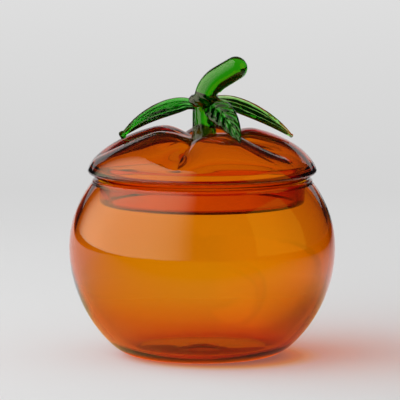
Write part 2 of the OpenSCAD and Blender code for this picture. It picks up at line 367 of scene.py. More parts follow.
def mixed(tree: NodeTree, share: Socket, first: Any, last: Any, how: str = "MIX") -> Socket:
    """Mix of two colours. The Mix node's sockets go by number, because several share a name.

    Args:
        tree: Node tree that takes it.
        share: Share of the second colour.
        first: Socket or linear colour.
        last: Socket or linear colour.
        how: Blender's name of the way to mix.

    Returns:
        The mixed colour's socket.
    """
    node = add_node(tree, "ShaderNodeMix", {"data_type": "RGBA", "blend_type": how})
    tree.links.new(share, node.inputs["Factor"])
    feed(tree, node.inputs[MIX_FIRST], first)
    feed(tree, node.inputs[MIX_LAST], last)
    return node.outputs[MIX_RESULT]


def blend(tree: NodeTree, share: Socket, first: Socket, last: Socket) -> Socket:
    """Mix of two shaders.

    Args:
        tree: Node tree that takes it.
        share: Share of the second shader.
        first: First shader.
        last: Second shader.

    Returns:
        The mixed shader's socket.
    """
    node = add_node(tree, "ShaderNodeMixShader", {}, {"Fac": share})
    tree.links.new(first, node.inputs[1])
    tree.links.new(last, node.inputs[2])
    return node.outputs[0]


def glow(tree: NodeTree, colour: Any, strength: Any = 1.0) -> Socket:
    """Even light that a surface gives off.

    Args:
        tree: Node tree that takes it.
        colour: Socket or linear colour.
        strength: Socket or number.

    Returns:
        The shader's socket.
    """
    node = add_node(tree, "ShaderNodeEmission")
    feed(tree, node.inputs["Color"], colour)
    feed(tree, node.inputs["Strength"], strength)
    return node.outputs[0]


def lamp_front(name: str, strength: float, tone: str = "#ffffff") -> Material:
    """Front of a lamp or card that shines evenly.

    Args:
        name: Name of the material.
        strength: How bright it is.
        tone: Its sRGB colour.

    Returns:
        The material.
    """
    material = bpy.data.materials.new(name)
    tree = fresh_tree(material)
    add_node(tree, "ShaderNodeOutputMaterial", {}, {"Surface": glow(tree, linear(tone), strength)})
    return material


@dataclass(frozen=True)
class BlownGlass:
    """Clear coloured glass: a smooth skin that refracts, and a body that swallows light by depth.

    On its way through the body each channel falls by exp(-density * (1 - tone) * metres). A slow
    ripple, given by its length and depth in mm, is what the flame leaves on the skin.
    """

    name: str
    depth_tone: str
    depth_density: float
    ripple_mm: float
    ripple_depth_mm: float
    shadow_tone: str = "#ffffff"
    sheen_tone: str = "#ffffff"
    skin_tone: str = "#ffffff"
    ior: float = 1.47
    roughness: float = 0.0
    ripple_detail: float = 1.0
    ripple_roughness: float = 0.4

    def material(self) -> Material:
        """Builds the nodes.

        The skin is a Principled shader with full transmission and a slow ripple in its normal. Shadow
        and diffuse rays pass the skin straight, so that the light which falls through the glass tints
        the table.

        Returns:
            The material.
        """
        material = bpy.data.materials.new(self.name)
        tree = fresh_tree(material)
        place = add_node(tree, "ShaderNodeTexCoord").outputs["Object"]
        ripple = add_node(tree, "ShaderNodeTexNoise",
                          {"Scale": 1.0 / (self.ripple_mm * MM), "Detail": self.ripple_detail,
                           "Roughness": self.ripple_roughness}, {"Vector": place})
        bump = add_node(tree, "ShaderNodeBump",
                        {"Strength": 1.0, "Distance": self.ripple_depth_mm * MM},
                        {"Height": ripple.outputs["Fac"]})
        surface = add_node(tree, "ShaderNodeBsdfPrincipled",
                           {"Base Color": linear(self.skin_tone), "Roughness": self.roughness,
                            "IOR": self.ior, "Transmission Weight": 1.0,
                            "Specular Tint": linear(self.sheen_tone)},
                           {"Normal": bump.outputs["Normal"]}).outputs[0]
        rays = add_node(tree, "ShaderNodeLightPath").outputs
        clear = add_node(tree, "ShaderNodeBsdfTransparent", {"Color": linear(self.shadow_tone)})
        for kind in ("Is Shadow Ray", "Is Diffuse Ray"):
            surface = blend(tree, rays[kind], surface, clear.outputs[0])
        depth = add_node(tree, "ShaderNodeVolumeAbsorption",
                         {"Color": linear(self.depth_tone), "Density": self.depth_density})
        add_node(tree, "ShaderNodeOutputMaterial", {},
                 {"Surface": surface, "Volume": depth.outputs[0]})
        return material


# Mouth-blown amber borosilicate, fire-polished: clear orange where the wall is thin, red-brown where
# four walls or a long way through one stand in line, with no haze and only a slow ripple.
AMBER = BlownGlass("borosilicate_amber_mouth_blown", depth_tone="#fde700", depth_density=1712.0,
                   ripple_mm=26.0, ripple_depth_mm=0.10)
# The lid's gather of the same mouth-blown amber, a shade deeper: the dome reads browner than the jar.
LID_AMBER = BlownGlass("borosilicate_amber_mouth_blown_lid", depth_tone="#fdea5e",
                       depth_density=2141.0, ripple_mm=26.0, ripple_depth_mm=0.10)
# Flame-worked green borosilicate rod: bright green where light shines through, near black where the
# way through it is long. The flame leaves a shorter ripple than blowing does.
GREEN = BlownGlass("borosilicate_green_flame_worked", depth_tone="#a5ea43", depth_density=700.0,
                   ripple_mm=7.0, ripple_depth_mm=0.08, shadow_tone="#f2f2f2")
# Green borosilicate pressed in tongs, a deeper batch: the thin leaves still read dark, with bright
# green between their veins. The tongs dull the skin, so its reflections are dim and greenish.
LEAF_GREEN = BlownGlass("borosilicate_green_pressed", depth_tone="#76e44d", depth_density=1385.0,
                        ripple_mm=5.0, ripple_depth_mm=0.03, shadow_tone="#f2f2f2",
                        sheen_tone="#93a893")
# Green borosilicate gathered and folded round the rod: near black, with pale reflections on its folds.
KNOT_GREEN = BlownGlass("borosilicate_green_gathered", depth_tone="#50cb45", depth_density=2600.0,
                        ripple_mm=5.0, ripple_depth_mm=0.03, shadow_tone="#f2f2f2")


# The jar

@dataclass
class JarBody:
    """Blown globe with a flat foot, a shallow push-up and a fire-polished rim. Sizes in mm.

    Each wave of the inner face has a strength, a number of crests round the jar, the mm of height
    that turn it by a radian, and a phase.
    """

    body_d: float = 100.0
    belly_h: float = 41.0
    shoulder_rise: float = 43.5
    foot_d: float = 57.0
    foot_blend_h: float = 4.5
    wall: float = 2.0
    floor_t: float = 2.6
    punt_d: float = 19.0
    punt_rise: float = 1.2
    mouth_inset: float = 11.1
    rim_round: float = 1.25
    rim_stand: float = 0.2
    waves: tuple[tuple[float, int, float, float], ...] = ((1.0, 2, 9.0, 0.0), (0.7, 3, -6.5, 1.1),
                                                          (0.5, 5, 5.0, 2.3))
    wave_depth: float = 0.05
    wave_foot_h: float = 8.0
    wave_fade_h: float = 14.0
    wave_least_r: float = 1.0
    punt_steps: int = 24
    foot_steps: int = 20
    bowl_steps: int = 70
    shoulder_steps: int = 50
    rim_steps: int = 20
    around: int = 256

    @property
    def mouth_r(self) -> float:
        """Inner radius of the mouth."""
        return self.body_d / 2 - self.mouth_inset

    @property
    def rim_mid_r(self) -> float:
        """Radius of the middle of the rim's rounding."""
        return self.mouth_r + self.rim_round

    @property
    def rim_h(self) -> float:
        """Height of the middle of the rim's rounding."""
        out = (self.rim_mid_r + self.rim_round) / (self.body_d / 2)
        return self.belly_h + self.shoulder_rise * math.sqrt(1 - out ** 2) + self.rim_stand

    def bowl(self, r: float, drop: float, floor_h: float) -> Array:
        """Lower half of the globe, from the flat floor to the belly.

        An ellipse with semi-axes r and drop about the belly's height. Near the floor a quadratic
        curve leads from the ellipse into the flat.

        Args:
            r: Radius at the belly.
            drop: Vertical semi-axis.
            floor_h: Height of the flat.

        Returns:
            Rows of (radius, height).
        """
        start = math.asin((self.belly_h - floor_h - self.foot_blend_h) / drop)
        edge = np.array([r * math.cos(start), floor_h + self.foot_blend_h])
        corner = np.array([edge[0] - self.foot_blend_h * r * math.tan(start) / drop, floor_h])
        flat_end = np.array([corner[0] - np.linalg.norm(edge - corner), floor_h])
        angle = start * (1 - span(self.bowl_steps)[1:])
        ellipse = np.stack([r * np.cos(angle), self.belly_h - drop * np.sin(angle)], -1)
        return np.concatenate([corner_blend(flat_end, corner, edge, self.foot_steps), ellipse])

    def shoulder(self, r: float, rise: float, end_r: float) -> Array:
        """Upper half of the globe: an ellipse with semi-axes r and rise, up to the radius end_r."""
        angle = math.acos(end_r / r) * span(self.shoulder_steps)[1:]
        return np.stack([r * np.cos(angle), self.belly_h + rise * np.sin(angle)], -1)

    def punt(self, height: float) -> Array:
        """Push-up: a raised cosine from near the axis to the foot ring, at a height."""
        t = span(self.punt_steps)[1:]
        return np.stack([self.punt_d / 2 * t,
                         height + self.punt_rise * (1 + np.cos(np.pi * t)) / 2], -1)

    def grid(self) -> Array:
        """Outer face, rim and inner face as one grid of points.

        The inner face is blown a little unevenly: its radius takes a sum of slow sine waves in
        azimuth and height, which dies out towards the rim and the floor.

        Returns:
            Grid of points, rows by columns by three.
        """
        r = self.body_d / 2
        drop = self.belly_h / math.sqrt(1 - (self.foot_d / self.body_d) ** 2)
        rim_out = self.rim_mid_r + self.rim_round
        outside = np.concatenate([self.punt(0.0), self.bowl(r, drop, 0.0),
                                  self.shoulder(r, self.shoulder_rise, rim_out)])
        rim = arc([self.rim_mid_r, self.rim_h], self.rim_round, 0.0, 180.0, self.rim_steps)
        inside = np.concatenate([self.punt(self.floor_t),
                                 self.bowl(r - self.wall, drop - self.wall, self.floor_t),
                                 self.shoulder(r - self.wall, self.shoulder_rise - self.wall,
                                               self.mouth_r)])[::-1]
        profile = np.concatenate([outside, rim, inside])
        azimuth = round_angles(self.around)
        points = turned(profile, azimuth)
        inner = np.arange(len(profile))[:, None] >= len(outside) + len(rim)
        height = profile[:, 1:]
        hold = (smooth_step((self.rim_h - height) / self.wave_fade_h)
                * smooth_step((height - self.wave_foot_h) / self.wave_fade_h))
        wave = sum(strength * np.sin(count * azimuth + height / rise + phase)
                   for strength, count, rise, phase in self.waves)
        radius = np.maximum(profile[:, :1], self.wave_least_r)
        swell = 1 + inner * hold * wave * self.wave_depth / radius
        points[..., :2] *= swell[..., None]
        return points

    def build(self, glass: BlownGlass) -> Object:
        """Makes the globe and dresses it."""
        skin = GridSkin("jar_globe", self.grid())
        return skin.piece("jar", "amber_glass", glass.material(), "jar_body")


@dataclass
class Lid:
    """Blown lid: lobed dome, folded lip, sloping flange and open collar in one skin. Sizes in mm."""

    jar: JarBody
    lip_overhang: float = 1.6
    wall: float = 2.2
    dome_rise: float = 20.2
    flange_slope: float = 32.0
    lobes: int = 5
    groove_azimuth: float = -14.0
    groove_depth: float = 4.3
    groove_margin: float = 3.0
    groove_sharpness: float = 1.4
    dimple_depth: float = 6.5
    dimple_r: float = 20.0
    collar_play: float = 0.5
    collar_len: float = 8.2
    collar_wall: float = 3.3
    seat_gap: float = 0.3
    stem_shift: float = 0.8
    foot_flare_d: float = 9.9
    reach_share: float = 1.0143
    pocket_share: float = 0.72
    bend_start_share: float = 0.93
    bend_rows: int = 4
    crowding: float = 0.55
    dome_steps: int = 60
    lip_steps: int = 16
    arc_steps: int = 14
    straight_steps: int = 8
    flange_steps: int = 6
    pocket_steps: int = 5
    lobe_cols: int = 64

    @property
    def half(self) -> float:
        """Half of the wall."""
        return self.wall / 2

    @property
    def lip_r(self) -> float:
        """Radius of the lip."""
        return self.jar.rim_mid_r + self.jar.rim_round + self.lip_overhang

    @property
    def fold_r(self) -> float:
        """Radius of the middle of the lip's fold."""
        return self.lip_r - self.half

    @property
    def fillet_r(self) -> float:
        """Radius of the fillet between flange and collar, which seats on the rim."""
        return self.collar_play + self.jar.rim_round

    @property
    def fillet_h(self) -> float:
        """Height of the fillet's middle."""
        return self.jar.rim_h - (self.collar_play - self.seat_gap)

    @property
    def fold_h(self) -> float:
        """Height of the middle of the lip's fold.

        From the fillet the flange rises at its slope, until it meets the fold from below.

        Returns:
            The height.
        """
        slope = math.radians(self.flange_slope)
        start = (self.jar.rim_mid_r - self.fillet_r * math.sin(slope),
                 self.fillet_h + self.fillet_r * math.cos(slope))
        run = (self.fold_r - start[0] + self.half * math.sin(slope)) / math.cos(slope)
        return start[1] + run * math.sin(slope) + self.half * math.cos(slope)

    @property
    def dome_r(self) -> float:
        """Horizontal semi-axis of the dome's ellipse."""
        return self.fold_r * self.reach_share

    @property
    def dome_h(self) -> float:
        """Height of the middle of the dome's ellipse."""
        return self.fold_h - self.dome_rise * math.sqrt(1 - (self.fold_r / self.dome_r) ** 2)

    @property
    def seat_r(self) -> float:
        """Radius of the flat on which the stem's foot stands."""
        return self.foot_flare_d / 2 + self.stem_shift

    @property
    def seat_h(self) -> float:
        """Height of the flat on which the stem's foot stands."""
        turn = np.array([math.asin(self.seat_r / self.dome_r)])
        return float(self.dome_face(turn, 1.0)[0, 1] - self.hollow(self.seat_r))

    def dome_face(self, turn: Array, side: float) -> Array:
        """One face of the dome without grooves.

        The middle line is an ellipse, and each face lies half a wall off it along the normal.

        Args:
            turn: Angles from the axis in radians.
            side: 1 for the outer face, -1 for the inner one.

        Returns:
            Rows of (radius, height).
        """
        point = np.stack([self.dome_r * np.sin(turn), self.dome_h + self.dome_rise * np.cos(turn)], -1)
        normal = np.stack([self.dome_rise * np.sin(turn), self.dome_r * np.cos(turn)], -1)
        return point + side * self.half * normal / np.linalg.norm(normal, axis=-1, keepdims=True)

    def hollow(self, r: Any) -> Any:
        """Fall into the hollow round the stem: its depth times (1 - (r / reach) squared) squared."""
        return self.dimple_depth * np.clip(1 - (np.asarray(r) / self.dimple_r) ** 2, 0, 1) ** 2

    def groove(self, r: Array, azimuth: Array) -> Array:
        """Fall into the grooves.

        A half sine from the stem to where the grooves run out, times a crease across: one minus the
        size of the sine of the half lobe angle, raised to a power.

        Args:
            r: Radii, one per row.
            azimuth: Azimuths in radians, one per column.

        Returns:
            Rows by columns of depths.
        """
        end = self.lip_r - self.groove_margin
        run = np.sin(np.pi * np.clip((r - self.seat_r) / (end - self.seat_r), 0, 1))
        turn = azimuth - math.radians(self.groove_azimuth)
        pinch = (1 - np.abs(np.sin(self.lobes / 2 * turn))) ** self.groove_sharpness
        return self.groove_depth * run[:, None] * pinch[None, :]

    def columns(self) -> Array:
        """Azimuths of the columns in radians, closer together in the grooves.

        Within each lobe the share t becomes t minus a part of the sine of a full turn of t.

        Returns:
            The azimuths, from the first groove round.
        """
        t = np.arange(self.lobe_cols) / self.lobe_cols
        t = t - self.crowding * np.sin(2 * np.pi * t) / (2 * np.pi)
        t = (np.arange(self.lobes)[:, None] + t[None, :]).ravel() / self.lobes
        return math.radians(self.groove_azimuth) + 2 * np.pi * t

    def profile(self) -> tuple[Array, Array]:
        """Profile of the skin, from the stem's seat over the dome and back under it.

        The lip's fold, the fillet and the collar's end are arcs, and the flange and the collar are
        straight. Under the fold a quadratic curve leads from the flange into the dome's inner face.

        Returns:
            Rows of (radius, height), and the radius at which the dome's hollow and grooves act on
            each row, zero where they do not.
        """
        slope = self.flange_slope
        fold = np.array([self.fold_r, self.fold_h])
        fold_turn = math.asin(self.fold_r / self.dome_r)
        seat_turn = math.asin(self.seat_r / self.dome_r)
        run = self.wall * self.pocket_share
        steep = math.hypot(self.dome_r * math.cos(fold_turn), self.dome_rise * math.sin(fold_turn))
        pocket_turn = fold_turn - run / steep
        along = np.array([math.cos(math.radians(slope)), math.sin(math.radians(slope))])
        pocket = fold - run * along + self.half * np.array([-along[1], along[0]])
        lip_start = math.degrees(math.atan2(self.dome_r * math.cos(fold_turn),
                                            self.dome_rise * math.sin(fold_turn)))
        centre = [self.jar.rim_mid_r, self.fillet_h]
        end_h = self.fillet_h - self.collar_len + self.collar_wall / 2
        collar_r = self.jar.rim_mid_r - self.fillet_r
        out_turn = lerp(seat_turn, fold_turn, span(self.dome_steps))
        back_turn = lerp(pocket_turn, seat_turn, span(self.dome_steps))
        down = span(self.flange_steps)[1:-1, None]
        straight = span(self.straight_steps)[1:-1, None]
        inner_r = self.fillet_r + lerp(self.collar_wall, self.wall, span(self.arc_steps))
        inner_arc = arc(centre, inner_r, 180.0, 90.0 + slope, self.arc_steps)
        fillet = arc(centre, self.fillet_r, 90.0 + slope, 180.0, self.arc_steps)
        lip = arc(fold, self.half, lip_start, slope - 90.0, self.lip_steps)[1:]
        flange_down = lerp(lip[-1], fillet[0], down)
        collar_down = lerp(fillet[-1], np.array([collar_r, end_h]), straight)
        end = arc([collar_r - self.collar_wall / 2, end_h], self.collar_wall / 2, 0.0, -180.0,
                  self.arc_steps)
        collar_up = lerp(end[-1], inner_arc[0], straight)
        flange_up = lerp(inner_arc[-1], pocket, span(self.pocket_steps)[1:-1, None])
        under = self.dome_face(back_turn, -1.0)
        bend = corner_blend(lerp(inner_arc[-1], pocket, self.bend_start_share),
                            (pocket + under[0]) / 2, under[self.bend_rows - 1],
                            self.straight_steps)
        parts = [self.dome_face(out_turn, 1.0), lip, flange_down, fillet, collar_down, end,
                 collar_up, inner_arc, flange_up, bend, under[self.bend_rows:]]
        acts = [self.dome_r * np.sin(out_turn)]
        acts += [np.zeros(len(part)) for part in parts[1:-1]]
        acts += [self.dome_r * np.sin(back_turn[self.bend_rows:])]
        return np.concatenate(parts), np.concatenate(acts)

    def grid(self) -> Array:
        """The profile turned, with the hollow and the grooves let into both faces of the dome.

        Returns:
            Grid of points, rows by columns by three.
        """
        profile, act = self.profile()
        azimuth = self.columns()
        fall = np.where(act[:, None] > 0, self.hollow(act)[:, None] + self.groove(act, azimuth), 0.0)
        return turned(profile, azimuth, fall)

    def build(self, glass: BlownGlass) -> Object:
        """Makes the lid and dresses it."""
        skin = GridSkin("lid_shell", self.grid())
        return skin.piece("lid", "amber_glass", glass.material(), "lid_dome", "lid_collar")


@dataclass
class Stem:
    """Green rod: a fluted post with a flared foot, and a crook above the knot. Sizes in mm.

    It holds the knot's sizes too, because the rod's own heights depend on them.
    """

    lid: Lid
    post_d: float = 9.0
    post_h: float = 11.8
    flare_h: float = 2.4
    knot_d: float = 11.8
    knot_h: float = 4.2
    knot_end_share: float = 0.25
    crook_d: float = 8.8
    crook_swell: float = 0.2
    bend_r: float = 12.0
    crook_lean: float = 18.0
    crook_end_lean: float = 59.0
    crook_end_len: float = 6.9
    settle_share: float = 0.308
    flutes: int = 5
    flute_depth: float = 0.7
    flute_power: float = 0.7
    flute_twist: float = 0.06
    flute_fade_h: float = 2.0
    post_rows: int = 360
    post_keep: int = 3
    post_margin: float = 1.0
    step_rows: int = 17
    crook_steps: int = 40
    tip_steps: int = 14
    weld_depth: float = 0.3
    around: int = 96

    @property
    def knot_foot_h(self) -> float:
        """Height of the knot's underside."""
        return self.lid.seat_h + self.post_h

    @property
    def knot_top_h(self) -> float:
        """Height of the knot's top."""
        return self.knot_foot_h + self.knot_h

    def upright(self) -> tuple[Array, Array]:
        """Upright part of the rod.

        The radius is the post's, plus the flare times (1 - height / flare height) squared at the
        foot. A short moving average takes the step to the crook out.

        Returns:
            Heights above the seat, from just inside the lid's glass, and radii.
        """
        post_r, crook_r = self.post_d / 2, self.crook_d / 2
        height = np.linspace(-self.post_margin, self.post_h + self.knot_h + self.post_margin,
                             self.post_rows)
        flare = self.lid.foot_flare_d / 2 - post_r
        radius = post_r + flare * np.clip(1 - height / self.flare_h, 0, 1) ** 2
        radius = np.where(height > self.post_h + self.knot_h / 2, crook_r, radius)
        window = np.hanning(self.step_rows)
        radius = np.convolve(np.pad(radius, self.step_rows // 2, mode="edge"), window / window.sum(),
                             mode="valid")
        keep = (height >= -self.weld_depth) & (height <= self.post_h + self.knot_h)
        return height[keep][::self.post_keep], radius[keep][::self.post_keep]

    def crook(self) -> tuple[Array, Array, Array]:
        """Crook: an arc from the first lean to the last, a straight run and a round tip.

        On the arc the middle line is the bend radius times (1 - cosine, sine) of the lean. The
        sections lie flat at the knot and turn square to the line within the first part.

        Returns:
            Middle line (x and height above the knot), radii, and leans in radians.
        """
        first, last = math.radians(self.crook_lean), math.radians(self.crook_end_lean)
        arc_len = self.bend_r * (last - first)
        length = arc_len + self.crook_end_len
        crook_r = self.crook_d / 2
        s = length * span(self.crook_steps)[1:]
        tip = 0.5 * np.pi * span(self.tip_steps)[1:-1]
        s_all = np.concatenate([s, length + crook_r * np.sin(tip)])
        bent = np.minimum(s_all, arc_len)
        lean = lerp(first, last, bent / arc_len)
        line = self.bend_r * np.stack([1 - np.cos(lean), np.sin(lean) - math.sin(first)], -1)
        line += (s_all - bent)[:, None] * np.array([math.sin(last), math.cos(last)])
        radius = np.concatenate([crook_r + self.crook_swell / 2 * np.sin(np.pi * s / length),
                                 crook_r * np.cos(tip)])
        tilt = lean * smooth_step(s_all / (self.settle_share * length))
        return line, radius, tilt

    def grid(self) -> Array:
        """Rings along the whole rod.

        A ring's point is the middle plus the radius times (cosine times cosine of the tilt, sine,
        minus cosine times sine of the tilt). The post's flutes are the size of a sine of half their
        number times the angle, raised to a power. They twist with the height and fade at both ends.

        Returns:
            Grid of points, rows by columns by three.
        """
        up_h, up_r = self.upright()
        line, radius, tilt = self.crook()
        middle_x = np.concatenate([np.zeros(len(up_h)), line[:, 0]]) + self.lid.stem_shift
        middle_h = np.concatenate([up_h + self.lid.seat_h, line[:, 1] + self.knot_top_h])
        radius = np.concatenate([up_r, radius])[:, None]
        tilt = np.concatenate([np.zeros(len(up_h)), tilt])[:, None]
        angle = round_angles(self.around)[None, :]
        along = np.concatenate([up_h, np.full(len(line), self.post_h + self.knot_h)])[:, None]
        flutes = np.abs(np.sin(self.flutes / 2 * angle + self.flute_twist * along)) ** self.flute_power
        hold = (smooth_step((self.post_h - along) / self.flute_fade_h)
                * smooth_step((along - self.flare_h) / self.flute_fade_h))
        radius = radius + self.flute_depth * hold * (flutes - 1.0)
        return np.stack([middle_x[:, None] + radius * np.cos(angle) * np.cos(tilt),
                         radius * np.sin(angle) * np.ones_like(tilt),
                         middle_h[:, None] - radius * np.cos(angle) * np.sin(tilt)], -1)

    def build(self, glass: BlownGlass) -> Object:
        """Makes the rod and dresses it."""
        skin = GridSkin("stem_rod", self.grid())
        return skin.piece("lid", "green_glass", glass.material(), "stem_post", "stem_crook")


@dataclass
class Knot:
    """Gather of glass round the rod, which holds the leaves: a hoop with slanting folds. In mm."""

    stem: Stem
    folds: int = 7
    fold_power: float = 0.7
    fold_depth: float = 1.3
    fold_rest: float = 0.85
    fold_twist: float = 0.9
    sink: float = 0.2
    inner_inset_share: float = 0.03
    outer_steps: int = 40
    inner_steps: int = 7
    around: int = 160

    def grid(self) -> Array:
        """Rings of the hoop.

        The outer face swells by a half sine over the height. The folds are the size of a sine of half
        their number times the angle, which turns with the height, raised to a power. The inner face
        lies just inside the rod.

        Returns:
            Grid of points, rows by columns by three.
        """
        stem = self.stem
        t = span(self.outer_steps)[:, None]
        swell = np.sin(np.pi * t)
        angle = round_angles(self.around)[None, :]
        turned_angle = self.folds / 2 * angle + self.fold_twist * stem.knot_h * t
        fold = np.abs(np.sin(turned_angle)) ** self.fold_power
        end_r = lerp(max(stem.post_d, stem.crook_d) / 2, stem.knot_d / 2, stem.knot_end_share)
        outer = lerp(end_r, stem.knot_d / 2, swell)
        outer = outer + self.fold_depth * swell * (fold - self.fold_rest)
        inner = np.full((self.inner_steps + 1, self.around), stem.crook_d / 2 - self.sink)
        radius = np.concatenate([outer, inner])
        inset = self.inner_inset_share
        back = lerp(1 - inset, inset, span(self.inner_steps))[:, None]
        height = np.concatenate([t, back]) * stem.knot_h
        return np.stack([radius * np.cos(angle) + stem.lid.stem_shift, radius * np.sin(angle),
                         np.broadcast_to(height + stem.knot_foot_h, radius.shape)], -1)

    def build(self, glass: BlownGlass) -> Object:
        """Makes the knot and dresses it."""
        skin = GridSkin("knot_wrap", self.grid(), hoop=True)
        return skin.piece("lid", "green_glass", glass.material(), "leaf_knot")


class Pressing(Enum):
    """What the tongs leave on a leaf's upper face: heights in mm of side veins and long ridges."""

    HERRINGBONE = (0.50, 0.0)
    LENGTHWISE = (0.08, 0.65)


@dataclass
class Leaf:
    """Pressed leaf: a veined tongue that leaves the knot and bends down over the dome. In mm."""

    node: str
    stem: Stem
    pressing: Pressing
    azimuth: float
    length: float
    set_down: float
    first_droop: float
    tip_gap: float
    roll: float
    bead_d: float
    width: float = 9.8
    thickness: float = 2.3
    midrib_depth: float = 0.5
    midrib_share: float = 0.16
    line_h: float = 0.35
    line_share: float = 0.05
    rim_h: float = 0.35
    rim_place_share: float = 0.88
    rim_share: float = 0.07
    veins: int = 6
    vein_slant: float = 0.22
    ridges: float = 1.75
    ridge_sway: float = 0.05
    sway_turn: float = 9.0
    relief_power: float = 0.8
    relief_root_share: float = 1 / 6
    gap: float = 0.3
    root_share: float = 0.06
    bulge_power: float = 0.6
    end_share: float = 0.035
    width_power: float = 0.7
    thick_shares: tuple[float, float] = (0.16, 0.985)
    thick_power: float = 0.45
    section_power: float = 0.65
    weld_depth: float = 2.2
    weld_steps: int = 8
    tip_crowding: float = 1.3
    droop_guess: float = 45.0
    droop_tries: int = 8
    steps: int = 260
    sides: int = 144

    @property
    def root_h(self) -> float:
        """Height of the leaf's root."""
        return self.stem.knot_foot_h + self.stem.knot_h / 2 - self.set_down

    def last_droop(self) -> float:
        """Droop of the tip in degrees, for which the leaf's arc ends a set gap above the dome.

        Each try takes the tip's reach from the droop before it, reads the dome's height there, and
        turns the fall over the arc's chord back into a droop.

        Returns:
            The droop.
        """
        lid, guess, first = self.stem.lid, self.droop_guess, self.first_droop
        for _ in range(self.droop_tries):
            arc_r = self.length / math.radians(guess - first)
            reach = self.stem.knot_d / 2 + self.gap + arc_r * (
                math.sin(math.radians(guess)) - math.sin(math.radians(first)))
            chord = 2 * arc_r * math.sin(math.radians(guess - first) / 2)
            turn = np.array([math.asin(min(reach, lid.fold_r) / lid.dome_r)])
            sink = lid.hollow(reach) + lid.groove(np.array([reach]),
                                                  np.array([math.radians(self.azimuth)]))[0, 0]
            fall = self.root_h - (lid.dome_face(turn, 1.0)[0, 1] - sink) - self.tip_gap
            guess = 2 * math.degrees(math.asin(fall / chord)) - first
        return guess

    def outline(self, t: Array) -> tuple[Array, Array]:
        """Half width and half thickness at a share t of the length.

        Each is a power of a half sine over a warped share. The width keeps a least share of its full
        size, and the tip ends in a round bead.

        Args:
            t: Shares, negative where the root reaches into the knot.

        Returns:
            Half widths and half thicknesses.
        """
        inside = np.clip(t, 0, 1)
        warped = lerp(self.root_share, 1.0, inside) ** self.bulge_power
        bulge = np.abs(np.sin(np.pi * warped)) ** self.width_power
        wide = self.width / 2 * np.maximum(bulge, self.end_share)
        swell = np.sin(np.pi * lerp(*self.thick_shares, inside)) ** self.thick_power
        thick = self.thickness / 2 * swell
        to_tip, r = self.length * (1 - inside), self.bead_d / 2
        bead = np.where(to_tip < 2 * r, np.sqrt(np.maximum(0, r * r - (r - to_tip) ** 2)), 0)
        return np.maximum(wide, bead), np.maximum(thick, bead)

    def relief(self, t: Array, u: Array) -> Array:
        """Pressed relief of the upper face.

        The midrib is a bell-shaped valley with a fine line standing in it, and a bell-shaped rim runs
        inside the edge. The side veins slant towards the tip and the ridges sway along the leaf. Each
        is twice the size of a sine, raised to a power, less one, and fades at the midrib, the edge and
        the root.

        Args:
            t: Shares of the length.
            u: Shares of the half width, from -1 to 1.

        Returns:
            Heights in mm.
        """
        vein_h, ridge_h = self.pressing.value
        side = np.abs(u)
        along = self.veins * (t - self.vein_slant * side)
        across = self.ridges * (u + self.ridge_sway * np.sin(self.sway_turn * t))
        vein, ridge = (2.0 * np.abs(np.sin(np.pi * phase)) ** self.relief_power - 1.0
                       for phase in (along, across))
        hold = np.sqrt(np.sin(np.pi * np.clip(side, 0, 1))) * np.clip(t / self.relief_root_share, 0, 1)
        valley = self.midrib_depth * np.exp(-(u / self.midrib_share) ** 2)
        line = self.line_h * np.exp(-(u / self.line_share) ** 2)
        rim = self.rim_h * np.exp(-((side - self.rim_place_share) / self.rim_share) ** 2)
        return line + rim - valley + (vein_h * vein + ridge_h * ridge) * hold

    def grid(self) -> Array:
        """Rings along the leaf.

        The middle line is an arc that starts at the first droop and ends at the last. A ring is
        flattened: its height is the size of the sine to a power, with its sign.

        Returns:
            Grid of points, rows by columns by three.
        """
        first, last = math.radians(self.first_droop), math.radians(self.last_droop())
        arc_r = self.length / (last - first)
        root = -self.weld_depth / self.length * (1 - span(self.weld_steps)[:-1])
        t = np.concatenate([root, 1 - (1 - span(self.steps)) ** self.tip_crowding])
        droop = lerp(first, last, np.maximum(t, 0))[:, None]
        out = arc_r * (np.sin(droop) - math.sin(first)) + np.minimum(t, 0)[:, None] * self.length
        down = -arc_r * (math.cos(first) - np.cos(droop))
        half_w, half_t = (x[:, None] for x in self.outline(t))
        angle = round_angles(self.sides)[None, :]
        sine, across = np.sin(angle), half_w * np.cos(angle)
        lift = np.sign(sine) * np.abs(sine) ** self.section_power
        relief = np.where(sine > 0, self.relief(np.maximum(t, 0)[:, None], np.cos(angle)), 0)
        up = half_t * lift + relief * sine * half_t * 2 / self.thickness
        roll = math.radians(self.roll)
        x = across * math.cos(roll) - up * math.sin(roll)
        h = across * math.sin(roll) + up * math.cos(roll)
        y = out + h * np.sin(droop) + self.stem.knot_d / 2 + self.gap
        z = down + h * np.cos(droop) + self.root_h
        turn = math.radians(180.0 + self.azimuth)
        return np.stack([x * math.cos(turn) - y * math.sin(turn) + self.stem.lid.stem_shift,
                         x * math.sin(turn) + y * math.cos(turn), z], -1)

    def build(self, glass: BlownGlass) -> Object:
        """Makes the leaf and dresses it."""
        skin = GridSkin(f"{self.node}_pressed", self.grid())
        return skin.piece("lid", "green_glass", glass.material(), self.node)


# The studio

def distance(tree: NodeTree, place: Socket, middle: tuple[float, float]) -> Socket:
    """Distance of a point on the table from a middle.

    Args:
        tree: Node tree that takes it.
        place: The point's socket.
        middle: X and Y of the middle, in metres.

    Returns:
        The distance's socket.
    """
    node = add_node(tree, "ShaderNodeVectorMath", {"operation": "DISTANCE"})
    feed(tree, node.inputs[0], place)
    feed(tree, node.inputs[1], (*middle, 0.0))
    return node.outputs["Value"]


